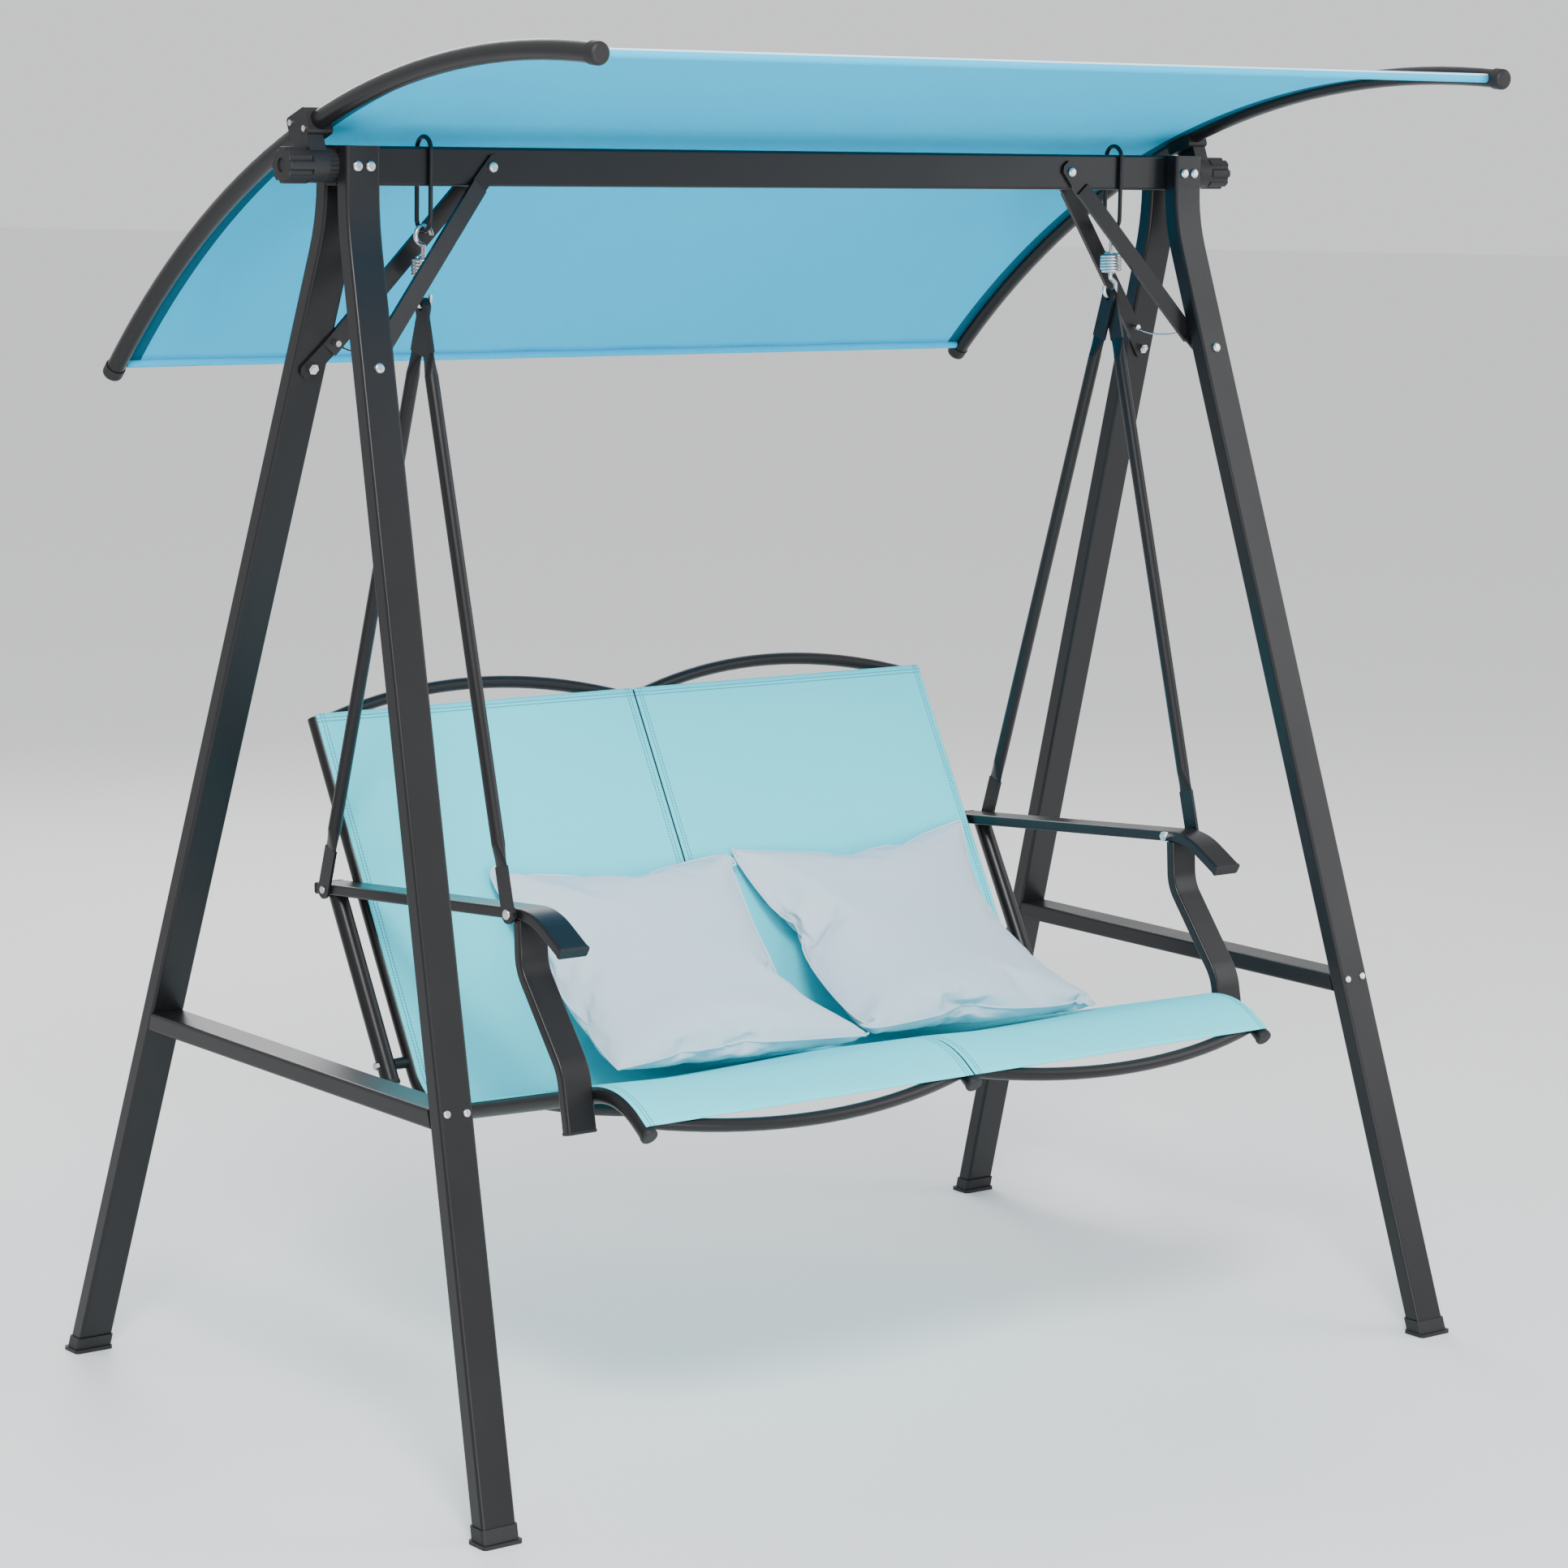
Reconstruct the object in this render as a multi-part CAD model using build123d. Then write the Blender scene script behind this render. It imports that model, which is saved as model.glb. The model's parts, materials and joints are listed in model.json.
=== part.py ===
from build123d import *
from math import atan2, cos, degrees, hypot, pi, radians, sin, tan
import os

# Two-seat canopy swing. X runs along the top beam, Y from the front to the back, Z up.
# The parts are modelled with the beam over Y = 0, then moved back by BEAM_Y, because the canopy
# reaches further out in front: the origin is on the floor, in the middle of the whole swing.
# All sizes are millimetres.
# Every side part is built on the right-hand, +X side and mirrored to the left.

# Stand tubes: one rectangular section, on edge in the beam and flat in the legs and bars
TUBE_WIDE = 50.0
TUBE_DEEP = 25.0
TUBE_WALL = 1.5
TUBE_CORNER = 4.0

# Top beam
BEAM_Y = 34.861
BEAM_Z = 1645.0
BEAM_HALF = 732.0

# Legs: upright beside the beam, then splayed both sideways and out
LEG_X = 707.0
LEG_Y = TUBE_DEEP
LEG_TOP_Z = BEAM_Z + TUBE_WIDE / 2
KINK_Z = 1578.0
KINK_RADIUS = 300.0
FOOT_X = 809.5
FOOT_Y = 505.0

# Feet: a plastic shoe round each leg's end, on a flange
FLANGE_X = 58.0
FLANGE_Y = 38.0
FLANGE_THICK = 5.0
SHOE_HEIGHT = 22.0
SHOE_WALL = 2.0

# Side bars between the legs
BAR_Z = 493.0
BAR_BOLT_SPREAD = 29.0
LEG_BOLT_SPREAD = 19.0
END_PLATE_THICK = 5.0

# Diagonal braces from the beam to the legs
BRACE_TOP_X = 498.0
BRACE_LOW_Z = 1392.0
BRACE_WIDE = 24.0
BRACE_THICK = 6.0
TAB_THICK = 4.0
TAB_BEFORE = 16.0
TAB_AFTER = 38.0
TIE_RADIUS = 1.25
TIE_SAG = 8.0
FERRULE_RADIUS = 4.0
FERRULE_LONG = 14.0

# Hanging loops, hooks and springs
HANG_X = 593.0
LOOP_ROD = 3.0
LOOP_RADIUS = 16.0
LOOP_TOP_Z = 1666.4
LOOP_LOW_Z = 1579.0
HOOK_ROD = 3.0
UPPER_RING = 12.0
SWING_Z = 1569.5
COIL_RADIUS = 13.2
COIL_ROD = 2.7
COIL_PITCH = 5.7
COIL_TURNS = 5
COIL_LOW_Z = 1501.5
BUTTON_RADIUS = 8.0
BUTTON_THICK = 3.0
LOWER_RING = 11.0
ROCK_Z = 1466.0

# Canopy: two side tubes bent to one arc, clamped above the beam's ends
ARC_X = 750.0
ARC_CENTRE_Y = -487.0
ARC_CENTRE_Z = 383.0
ARC_RADIUS = 1405.0
ARC_FRONT = -4.6
ARC_BACK = 46.1
ARC_TUBE = 12.5
ARC_WALL = 1.2
FABRIC_MARGIN = 0.88
CANOPY_THICK = 2.0
HEM_ROD = 5.0

# Tilt lock at each beam end: fixed toothed hub, bracket, star knob
HUB_RADIUS = 22.0
HUB_LONG = 13.0
HUB_TEETH = 24
STUD_RADIUS = 5.0
BRACKET_LONG = 24.0
KNOB_LONG = 35.0
KNOB_LOBES = 8

# Chair side frames
RAIL_X = 532.4
RAIL_TUBE = 11.0
RAIL_WALL = 1.2
CORNER = (72.0, 381.0)
RECLINE = 29.5
SEAT_RISE = 14.95
BACK_LONG = 580.0
SEAT_LONG = 455.0
NOSE_LONG = 75.0
NOSE_DROP = 35.0
CORNER_BEND = 80.0
NOSE_BEND = 110.0
CROSS_TUBE = 9.0
ARCH_RISE = 42.0
NOSE_RISE = 38.0
SEAT_DIP = 35.0
LOW_BACK_DIP = 25.0

# Arms
ARM_X = 566.0
ARM_WIDE = 45.0
ARM_DEEP = 15.0
ARM_WALL = 1.2
ARM_CORNER = 3.5
ARM_REAR_Y = 265.0
FRONT_BOLT = (-208.0, 707.0)
REAR_BOLT = (240.0, 670.0)
POST_X = 574.0
POST_TUBE = 12.5

# Hanger tubes, flattened at both ends
HANGER_TUBE = 9.0
HANGER_WALL = 1.2
FLAT_THICK = 4.0
FLAT_WIDE = 25.0
FLAT_LONG = 62.0
TAPER_LONG = 28.0
HANGER_STEP = 2.2

# Sling panels and pillows
SLING_THICK = 2.4
SLING_GAP = 0.3
SLING_EDGE = 5.0
SEAM_HALF = 1.5
PILLOW_SIDE = 420.0
PILLOW_THICK = 100.0
PILLOW_SEAM = 4.0
PILLOW_TWIST = 7.0
PILLOW_LIFT = 25.0
PILLOW_CENTRES = (-138.0, 294.0)

M8 = 4.0
M6 = 3.0
HOLE_GAP = 0.2
COPE_GAP = 0.15

parts = {}


def keep(name, *shapes):
    """Store one node, made of one solid or of several separate ones."""
    solids = [solid for shape in shapes for solid in shape.solids()]
    parts[name] = solids[0] if len(solids) == 1 else Compound(solids)


def left(shape):
    return mirror(shape, about=Plane.YZ)


def front(shape):
    return mirror(shape, about=Plane.XZ)


def sides(shape):
    return [shape, left(shape)]


def corners(shape):
    return [shape, left(shape), front(shape), left(front(shape))]


def cut(shape, *tools):
    for tool in tools:
        shape = shape - tool
    return shape


def box_bar(path, width, depth, corner):
    """Rectangular bar along a path, its width along X where the path starts."""
    start = Plane(origin=path @ 0, x_dir=(1, 0, 0), z_dir=path % 0)
    return sweep(start * RectangleRounded(width, depth, corner), path)


def box_tube(path, width, depth, wall, corner):
    hollow = box_bar(path, width - 2 * wall, depth - 2 * wall, corner - wall)
    return box_bar(path, width, depth, corner) - hollow


def rod(path, radius):
    """Round bar along a path."""
    start = Plane(origin=path @ 0, z_dir=path % 0)
    return sweep(start * Circle(radius), path)


def pipe(path, radius, wall):
    return rod(path, radius) - rod(path, radius - wall)


def bore(seat, radius, depth, above=10.0):
    """Cylinder through a joint, from above the seat down its axis."""
    return seat * Pos(0, 0, (above - depth) / 2) * Cylinder(radius, above + depth)


def bolt(seat, grip, radius):
    """Round-headed bolt and nut: the head sits on the seat, the nut at the far end of the grip."""
    head = Pos(0, 0, 0.5 * radius) * Cylinder(1.75 * radius, radius)
    head = fillet(head.edges().group_by(Axis.Z)[-1], 0.8 * radius)
    nut = Pos(0, 0, -grip - 1.6 * radius) * extrude(RegularPolygon(1.8 * radius, 6), 1.6 * radius)
    stem = Pos(0, 0, -(grip + 2 * radius) / 2) * Cylinder(radius, grip + 2 * radius)
    return seat * (head + stem + nut)


def facing_x(x, y, z, way=1):
    return Plane(origin=(x, y, z), x_dir=(0, 1, 0), z_dir=(way, 0, 0))


def facing_y(x, y, z, way=1):
    return Plane(origin=(x, y, z), x_dir=(1, 0, 0), z_dir=(0, way, 0))


# ---------------------------------------------------------------- stand

def leg_path():
    kink = Vector(LEG_X, LEG_Y, KINK_Z)
    foot = Vector(FOOT_X, FOOT_Y, 0)
    return FilletPolyline((LEG_X, LEG_Y, LEG_TOP_Z), kink, kink + (foot - kink) * 1.03, radius=KINK_RADIUS)


def turned(vector):
    """A direction of the upright leg top, carried round the kink into the splayed part."""
    spread = Vector(FOOT_X - LEG_X, FOOT_Y - LEG_Y, 0)
    hinge = Axis((0, 0, 0), Vector(0, 0, -1).cross(spread))
    return Vector(*vector).rotate(hinge, degrees(atan2(spread.length, KINK_Z)))


LEG_DOWN = turned((0, 0, -1))
LEG_ACROSS = turned((1, 0, 0))
LEG_OUT = turned((0, 1, 0))


def leg_centre(z):
    return Vector(LEG_X, LEG_Y, KINK_Z) + LEG_DOWN * ((z - KINK_Z) / LEG_DOWN.Z)


def leg_seat(z, across=0.0):
    """Seat on the outer face of the back right leg, facing out."""
    origin = leg_centre(z) + LEG_OUT * (TUBE_DEEP / 2) + LEG_ACROSS * across
    return Plane(origin=origin, x_dir=LEG_ACROSS, z_dir=LEG_OUT)


def top_bolt_seats():
    offsets = (-LEG_BOLT_SPREAD / 2, LEG_BOLT_SPREAD / 2)
    return [facing_y(LEG_X + dx, -LEG_Y - TUBE_DEEP / 2, BEAM_Z, -1) for dx in offsets]


def bar_bolt_seats():
    return [leg_seat(BAR_Z + 5, across) for across in (-BAR_BOLT_SPREAD / 2, BAR_BOLT_SPREAD / 2)]


BRACE_TOP = facing_y(BRACE_TOP_X, -TUBE_DEEP / 2 - TAB_THICK, BEAM_Z, -1)
BRACE_LOW = leg_seat(BRACE_LOW_Z)
THROUGH_LEGS = 2 * LEG_Y + TUBE_DEEP
THROUGH_BRACES = TUBE_DEEP + 2 * TAB_THICK


def make_beam():
    line = Line((-BEAM_HALF, 0, BEAM_Z), (BEAM_HALF, 0, BEAM_Z))
    start = Plane(origin=line @ 0, x_dir=(0, 1, 0), z_dir=(1, 0, 0))
    outer = sweep(start * RectangleRounded(TUBE_DEEP, TUBE_WIDE, TUBE_CORNER), line)
    inner_deep = TUBE_DEEP - 2 * TUBE_WALL
    inner_wide = TUBE_WIDE - 2 * TUBE_WALL
    inner = sweep(start * RectangleRounded(inner_deep, inner_wide, TUBE_CORNER - TUBE_WALL), line)
    holes = [bore(seat, M8 + HOLE_GAP, THROUGH_LEGS + 20) for seat in top_bolt_seats()]
    holes.append(bore(BRACE_TOP, M8 + HOLE_GAP, THROUGH_BRACES + 20))
    beam = outer - inner
    for hole in holes:
        beam = cut(beam, hole, left(hole))
    return beam


def make_leg():
    """Back right leg, cut level just above the floor, with its bolt holes."""
    leg = box_tube(leg_path(), TUBE_WIDE, TUBE_DEEP, TUBE_WALL, TUBE_CORNER)
    below = Pos(FOOT_X, FOOT_Y, FLANGE_THICK - 100) * Box(300, 300, 200)
    holes = [bore(seat, M8 + HOLE_GAP, THROUGH_LEGS + 20) for seat in top_bolt_seats()]
    holes += [bore(seat, M6 + HOLE_GAP, TUBE_DEEP + 10) for seat in bar_bolt_seats()]
    holes.append(bore(BRACE_LOW, M8 + HOLE_GAP, TUBE_DEEP + 10))
    return cut(leg, below, *holes)


def make_foot():
    """Shoe round the leg's end, standing on a flange whose underside is the floor face."""
    shoe = box_bar(leg_path(), TUBE_WIDE + 2 * SHOE_WALL, TUBE_DEEP + 2 * SHOE_WALL, TUBE_CORNER + 1)
    slab = Pos(FOOT_X, FOOT_Y, SHOE_HEIGHT / 2) * Box(200, 200, SHOE_HEIGHT)
    socket = box_bar(leg_path(), TUBE_WIDE + 2 * HOLE_GAP, TUBE_DEEP + 2 * HOLE_GAP, TUBE_CORNER)
    socket = socket & (Pos(FOOT_X, FOOT_Y, FLANGE_THICK + 50) * Box(200, 200, 100))
    plate = extrude(RectangleRounded(FLANGE_X, FLANGE_Y, 6), FLANGE_THICK)
    plate = Pos(FOOT_X, FOOT_Y, 0) * plate
    return (shoe & slab) + plate - socket


def bar_ends(depth_inside):
    """Half-space tools that trim a side bar to the slope of both legs' inner faces."""
    origin = leg_centre(BAR_Z) - LEG_OUT * (TUBE_DEEP / 2 + depth_inside)
    trim = Plane(origin=origin, x_dir=LEG_ACROSS, z_dir=LEG_OUT) * Pos(0, 0, 150) * Box(400, 400, 300)
    return [trim, front(trim)]


def bar_solid(width, height, corner):
    line = Line((leg_centre(BAR_Z).X, -400, BAR_Z), (leg_centre(BAR_Z).X, 400, BAR_Z))
    return box_bar(line, width, height, corner)


def make_side_bar():
    inner_wide = TUBE_WIDE - 2 * TUBE_WALL
    inner_deep = TUBE_DEEP - 2 * TUBE_WALL
    bar = bar_solid(TUBE_WIDE, TUBE_DEEP, TUBE_CORNER) - bar_solid(inner_wide, inner_deep, TUBE_CORNER - TUBE_WALL)
    return cut(bar, *bar_ends(HOLE_GAP))


def make_end_plates():
    """Threaded plates closing the side bar's two ends, where the leg bolts hold."""
    inner_wide = TUBE_WIDE - 2 * TUBE_WALL - 0.2
    inner_deep = TUBE_DEEP - 2 * TUBE_WALL - 0.2
    core = bar_solid(inner_wide, inner_deep, TUBE_CORNER - TUBE_WALL)
    core = cut(core, *bar_ends(HOLE_GAP))
    middle = bar_ends(END_PLATE_THICK)[0]
    plate = core & middle
    holes = [bore(seat, M6 + HOLE_GAP, TUBE_DEEP + 30) for seat in bar_bolt_seats()]
    return cut(plate, *holes)


def make_bar_bolts():
    bolts = []
    for seat in bar_bolt_seats():
        bolts += corners(bolt(seat, TUBE_DEEP + END_PLATE_THICK + 1, M6))
    return bolts


def brace_frame():
    """Ends of the back right brace: tab centres, tab planes and the joining run."""
    upper = Vector(BRACE_TOP_X, TUBE_DEEP / 2 + TAB_THICK / 2, BEAM_Z)
    lower = leg_centre(BRACE_LOW_Z) - LEG_OUT * (TUBE_DEEP / 2 + TAB_THICK / 2)
    slope = lower - upper
    along_beam = Vector(slope.X, 0, slope.Z).normalized()
    along_leg = (slope - LEG_OUT * slope.dot(LEG_OUT)).normalized()
    upper_tab = Plane(origin=upper, x_dir=along_beam, z_dir=(0, 1, 0))
    lower_tab = Plane(origin=lower, x_dir=-along_leg, z_dir=-LEG_OUT)
    start = upper + along_beam * (TAB_AFTER - 6) + Vector(0, 2, 0)
    end = lower - along_leg * (TAB_AFTER - 6) - LEG_OUT * 2
    run = end - start
    flat = run.cross(Vector(0, 1, 0).cross(run)).normalized()
    run_plane = Plane(origin=(start + end) * 0.5, x_dir=run, z_dir=flat)
    return upper_tab, lower_tab, run_plane, run.length


def make_brace():
    upper_tab, lower_tab, run_plane, length = brace_frame()
    tab = Pos((TAB_AFTER - TAB_BEFORE) / 2, 0, 0) * Box(TAB_AFTER + TAB_BEFORE, BRACE_WIDE, TAB_THICK)
    tab = chamfer(tab.edges().filter_by(Axis.Z).group_by(Axis.X)[0], 6)
    brace = upper_tab * tab + lower_tab * tab + run_plane * Box(length, BRACE_WIDE, BRACE_THICK)
    top_hole = bore(BRACE_TOP, M8 + HOLE_GAP, THROUGH_BRACES + 20)
    low_hole = bore(BRACE_LOW, M8 + HOLE_GAP, TUBE_DEEP + 20)
    leg = box_bar(leg_path(), TUBE_WIDE + 2 * COPE_GAP, TUBE_DEEP + 2 * COPE_GAP, TUBE_CORNER)
    return cut(brace, top_hole, low_hole, leg)


def make_tie(brace):
    """Slack wire that joins the front and back brace, with a ferrule at each end."""
    lower_tab = brace_frame()[1]
    point = lower_tab * Pos(TAB_AFTER + 4, 0, 0)
    x, y, z = point.position
    wire = rod(ThreePointArc((x, -y + 6, z), (x, 0, z - TIE_SAG), (x, y - 6, z)), TIE_RADIUS)
    ferrule = Pos(x, y - FERRULE_LONG / 2, z) * Rot(90, 0, 0) * Cylinder(FERRULE_RADIUS, FERRULE_LONG)
    return cut(wire + ferrule + front(ferrule), brace, front(brace))


def make_hub():
    """Toothed disc fixed in the beam's open end, with the stud that carries bracket and knob."""
    x = BEAM_HALF + HOLE_GAP
    disc = Pos(x + HUB_LONG / 2, 0, BEAM_Z) * Rot(0, 90, 0) * Cylinder(HUB_RADIUS, HUB_LONG)
    for tooth in range(HUB_TEETH):
        angle = 2 * pi * tooth / HUB_TEETH
        y = HUB_RADIUS * cos(angle)
        z = BEAM_Z + HUB_RADIUS * sin(angle)
        disc = disc - Pos(x + HUB_LONG / 2, y, z) * Rot(0, 90, 0) * Cylinder(1.2, HUB_LONG + 2)
    plug_deep = TUBE_DEEP - 2 * TUBE_WALL - 0.4
    plug_wide = TUBE_WIDE - 2 * TUBE_WALL - 0.4
    plug = Box(6, plug_deep, plug_wide)
    plug = Pos(BEAM_HALF - 2.5, 0, BEAM_Z) * fillet(plug.edges().filter_by(Axis.X), TUBE_CORNER - TUBE_WALL)
    stud_long = HUB_LONG + BRACKET_LONG + 26
    stud = Pos(x + stud_long / 2, 0, BEAM_Z) * Rot(0, 90, 0) * Cylinder(STUD_RADIUS, stud_long)
    return disc + plug + stud


def make_loop():
    """Closed hanging loop of round rod, resting on the beam."""
    y = LOOP_RADIUS
    top = LOOP_TOP_Z
    low = LOOP_LOW_Z
    upper = ThreePointArc((HANG_X, -y, top), (HANG_X, 0, top + y), (HANG_X, y, top))
    bent = rod(Wire([Line((HANG_X, -y, low), (HANG_X, -y, top)), upper, Line((HANG_X, y, top), (HANG_X, y, low))]), LOOP_ROD)
    return bent + rod(ThreePointArc((HANG_X, y, low), (HANG_X, 0, low - y), (HANG_X, -y, low)), LOOP_ROD)


# ---------------------------------------------------------------- springs and hooks

def make_upper_hook():
    """Open ring over the loop's foot, with a shank and button held inside the coil."""
    z = SWING_Z - UPPER_RING
    reach = UPPER_RING * sin(radians(45))
    tip = (HANG_X - UPPER_RING, 0, z)
    ring = rod(ThreePointArc((HANG_X, 0, z - UPPER_RING), (HANG_X + reach, 0, z + reach), tip), HOOK_ROD)
    shank_low = COIL_LOW_Z + COIL_PITCH * COIL_TURNS - 9
    shank = rod(Line((HANG_X, 0, z - UPPER_RING), (HANG_X, 0, shank_low)), HOOK_ROD)
    return ring + shank + Pos(HANG_X, 0, shank_low) * Cylinder(BUTTON_RADIUS, BUTTON_THICK)


def make_coil():
    return Pos(HANG_X, 0, COIL_LOW_Z) * coil_wire()


def coil_wire():
    turns = Helix(pitch=COIL_PITCH, height=COIL_PITCH * COIL_TURNS, radius=COIL_RADIUS)
    start = Plane(origin=turns @ 0, z_dir=turns % 0)
    return sweep(start * Circle(COIL_ROD), turns, is_frenet=True)


def make_lower_hook():
    """Button and shank from the coil, then a hook through both hangers, its tip inboard."""
    out = HANG_X + LOWER_RING
    inn = HANG_X - LOWER_RING
    z = ROCK_Z + LOWER_RING
    button_z = COIL_LOW_Z + 7
    neck = FilletPolyline((HANG_X, 0, button_z), (HANG_X, 0, z + 17), (out, 0, z + 9), (out, 0, z), radius=5)
    bend = ThreePointArc((out, 0, z), (HANG_X, 0, ROCK_Z), (inn, 0, z))
    hook = rod(Wire([*neck.edges(), bend, Line((inn, 0, z), (inn, 0, z + 5))]), HOOK_ROD)
    return hook + Pos(HANG_X, 0, button_z) * Cylinder(BUTTON_RADIUS, BUTTON_THICK)


# ---------------------------------------------------------------- canopy

def arc_point(angle, radius=ARC_RADIUS):
    return (ARC_CENTRE_Y + radius * sin(radians(angle)), ARC_CENTRE_Z + radius * cos(radians(angle)))


def arc_line(x, start, end, radius=ARC_RADIUS):
    points = [(x, *arc_point(angle, radius)) for angle in (start, (start + end) / 2, end)]
    return ThreePointArc(*points)


def make_arc_tube():
    return pipe(arc_line(ARC_X, ARC_FRONT, ARC_BACK), ARC_TUBE, ARC_WALL)


def make_arc_cap(angle, way):
    """Rounded plastic end of a canopy tube."""
    y, z = arc_point(angle)
    heading = (0, way * cos(radians(angle)), -way * sin(radians(angle)))
    seat = Plane(origin=(ARC_X, y, z), z_dir=heading)
    cap = Pos(0, 0, -1) * Cylinder(ARC_TUBE + 1.6, 18)
    cap = fillet(cap.edges().group_by(Axis.Z)[-1], 6)
    socket = Pos(0, 0, -30) * Cylinder(ARC_TUBE + 0.3, 60)
    return seat * (cap - socket)


def make_canopy_fabric(slack=0.0):
    """Cloth from tube to tube, one curved panel between the two hem rods."""
    low = ARC_RADIUS - CANOPY_THICK / 2 - slack
    high = ARC_RADIUS + CANOPY_THICK / 2 + slack
    start = ARC_FRONT + FABRIC_MARGIN
    end = ARC_BACK - FABRIC_MARGIN
    under = arc_line(0, start, end, low)
    over = arc_line(0, start, end, high)
    edges = [under, Line(under @ 1, over @ 1), over, Line(over @ 0, under @ 0)]
    return extrude(make_face(edges), ARC_X - ARC_TUBE - 0.5 + slack, dir=(1, 0, 0), both=True)


def make_hem_rod(angle, way):
    """Straight rod from one canopy tube to the other, just past the cloth's end."""
    y, z = arc_point(angle + way * degrees((HEM_ROD + 0.5) / ARC_RADIUS))
    half = ARC_X - ARC_TUBE + 3
    tubes = [rod(arc_line(x, ARC_FRONT - 1, ARC_BACK + 1), ARC_TUBE + COPE_GAP) for x in (-ARC_X, ARC_X)]
    return cut(rod(Line((-half, y, z), (half, y, z)), HEM_ROD), *tubes)


CLAMP_ANGLE = degrees(atan2(-ARC_CENTRE_Y, BEAM_Z - ARC_CENTRE_Z))
CLAMP_REACH = ARC_RADIUS - hypot(ARC_CENTRE_Y, BEAM_Z - ARC_CENTRE_Z)
BRACKET_X = BEAM_HALF + HUB_LONG + 0.5


def clamp_frame(x):
    """Frame at the beam axis whose z points to the canopy tube and whose y runs along it."""
    tilt = radians(CLAMP_ANGLE)
    return Plane(origin=(x, 0, BEAM_Z), x_dir=(1, 0, 0), z_dir=(0, sin(tilt), cos(tilt)))


def make_bracket():
    boss_x = BRACKET_X + BRACKET_LONG / 2
    boss = Pos(boss_x, 0, BEAM_Z) * Rot(0, 90, 0) * Cylinder(HUB_RADIUS, BRACKET_LONG)
    arm = clamp_frame(boss_x) * Pos(0, 0, CLAMP_REACH / 2) * Box(BRACKET_LONG, 34, CLAMP_REACH)
    block = Box(36, 46, 2 * (ARC_TUBE + 5))
    block = fillet(block.edges().filter_by(Axis.X), 5)
    block = clamp_frame(ARC_X + 1.5) * Pos(0, 0, CLAMP_REACH) * block
    tube = rod(arc_line(ARC_X, CLAMP_ANGLE - 3, CLAMP_ANGLE + 3), ARC_TUBE + 0.3)
    stud = Pos(boss_x, 0, BEAM_Z) * Rot(0, 90, 0) * Cylinder(STUD_RADIUS + 0.2, BRACKET_LONG + 20)
    bracket = cut(boss + arm + block, tube, stud, make_canopy_fabric(0.4))
    return cut(bracket, *[bore(seat, M6 - 0.5, 12) for seat in clamp_screw_seats()])


def clamp_screw_seats():
    """Two screws in the clamp's outer face, one each side of the tube."""
    x = ARC_X + 19.5
    frame = clamp_frame(x)
    spots = [frame * Pos(0, -14, CLAMP_REACH - 9), frame * Pos(0, 14, CLAMP_REACH + 9)]
    return [facing_x(x, spot.position.Y, spot.position.Z) for spot in spots]


def make_clamp_screws():
    screws = []
    for seat in clamp_screw_seats():
        head = Pos(0, 0, 1) * Cylinder(4, 2)
        screws.append(seat * (head + Pos(0, 0, -2) * Cylinder(M6 - 0.6, 4)))
    return screws


def make_knob():
    """Star knob on the hub's stud."""
    x = BRACKET_X + BRACKET_LONG + 0.5
    star = Circle(HUB_RADIUS + 1)
    for lobe in range(KNOB_LOBES):
        angle = 360 * (lobe + 0.5) / KNOB_LOBES
        star = star - Rot(0, 0, angle) * Pos(HUB_RADIUS + 3, 0, 0) * Circle(5)
    body = fillet(extrude(star, KNOB_LONG).edges().group_by(Axis.Z)[-1], 2)
    hole = Pos(0, 0, 14) * Cylinder(STUD_RADIUS + 0.2, 30)
    dish = Pos(0, 0, KNOB_LONG) * Cylinder(9, 4)
    return facing_x(x, 0, BEAM_Z) * (body - hole - dish)


# ---------------------------------------------------------------- chair frame

BACK_WAY = (sin(radians(RECLINE)), cos(radians(RECLINE)))
SEAT_WAY = (-cos(radians(SEAT_RISE)), sin(radians(SEAT_RISE)))
NOSE_WAY = (-cos(radians(NOSE_DROP)), -sin(radians(NOSE_DROP)))
NOSE_TOP = (CORNER[0] + SEAT_LONG * SEAT_WAY[0], CORNER[1] + SEAT_LONG * SEAT_WAY[1])


def back_point(x, along, forward=0.0):
    """Point of the back: distance up the rail from the seat corner, and in front of its plane."""
    y = CORNER[0] + along * BACK_WAY[0] - forward * BACK_WAY[1]
    z = CORNER[1] + along * BACK_WAY[1] + forward * BACK_WAY[0]
    return (x, y, z)


def seat_point(x, along, above=0.0):
    """Point of the seat: distance forward from the corner, and above the rail's line."""
    y = CORNER[0] + along * SEAT_WAY[0] + above * SEAT_WAY[1]
    z = CORNER[1] + along * SEAT_WAY[1] - above * SEAT_WAY[0]
    return (x, y, z)


def nose_point(x, along, above=0.0):
    """Point of the seat's drooping front end, beyond its bend."""
    y = NOSE_TOP[0] + along * NOSE_WAY[0] + above * NOSE_WAY[1]
    z = NOSE_TOP[1] + along * NOSE_WAY[1] - above * NOSE_WAY[0]
    return (x, y, z)


def rail_path(x):
    points = (back_point(x, BACK_LONG), back_point(x, 0), seat_point(x, SEAT_LONG), nose_point(x, NOSE_LONG))
    return FilletPolyline(*points, radius=[CORNER_BEND, NOSE_BEND])


def make_rail(x):
    return pipe(rail_path(x), RAIL_TUBE, RAIL_WALL)


def make_side_rail():
    rail = make_rail(RAIL_X)
    return cut(rail, *[bore(rail_bolt_seat(*spot), M6 + HOLE_GAP, 35) for spot in (UPRIGHT_BOLT, POST_BOLT)])


def fat_rails(*places):
    return [rod(rail_path(x), RAIL_TUBE + COPE_GAP) for x in places]


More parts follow.
